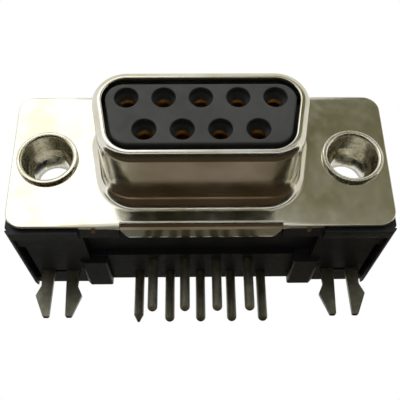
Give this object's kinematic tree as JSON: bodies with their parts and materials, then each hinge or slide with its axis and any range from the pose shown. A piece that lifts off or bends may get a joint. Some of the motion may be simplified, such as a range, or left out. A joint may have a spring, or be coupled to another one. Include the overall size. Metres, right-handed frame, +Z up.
{
  "type": "d-sub connector",
  "caption": "Right-angle board-mount D-sub socket connector with plated shell, flared eyelets, board locks and bent solder tails.",
  "frame": {"origin": "centre of the D-shaped collar, on the front face of the shell's flange", "axes": "+Z up away from the board, -Y out of the mating side, X along the length; the board's surface is at z = -6.6 mm"},
  "size_m": [0.0308, 0.0174, 0.0169],
  "materials": {
    "shell_nickel": "bright nickel plate over drawn steel",
    "eyelet_tin": "bright plate over formed steel",
    "lock_tin": "matt tin plate over stamped bronze sheet",
    "contact_plate": "gold plated socket, tinned tail",
    "insulator_black": "moulded glass-filled PBT, fine matt",
    "housing_black": "moulded glass-filled PBT, satin"
  },
  "bodies": {
    "root": {"front_shell": "shell_nickel", "front_insulator": "insulator_black", "rear_insulator": "insulator_black", "housing": "housing_black", "tail_guide": "housing_black", "eyelet_left": "eyelet_tin", "eyelet_right": "eyelet_tin", "board_lock_left": "lock_tin", "board_lock_right": "lock_tin", "socket_contact_1": "contact_plate", "socket_contact_2": "contact_plate", "socket_contact_3": "contact_plate", "socket_contact_4": "contact_plate", "socket_contact_5": "contact_plate", "socket_contact_6": "contact_plate", "socket_contact_7": "contact_plate", "socket_contact_8": "contact_plate", "socket_contact_9": "contact_plate"}
  },
  "joints": []
}
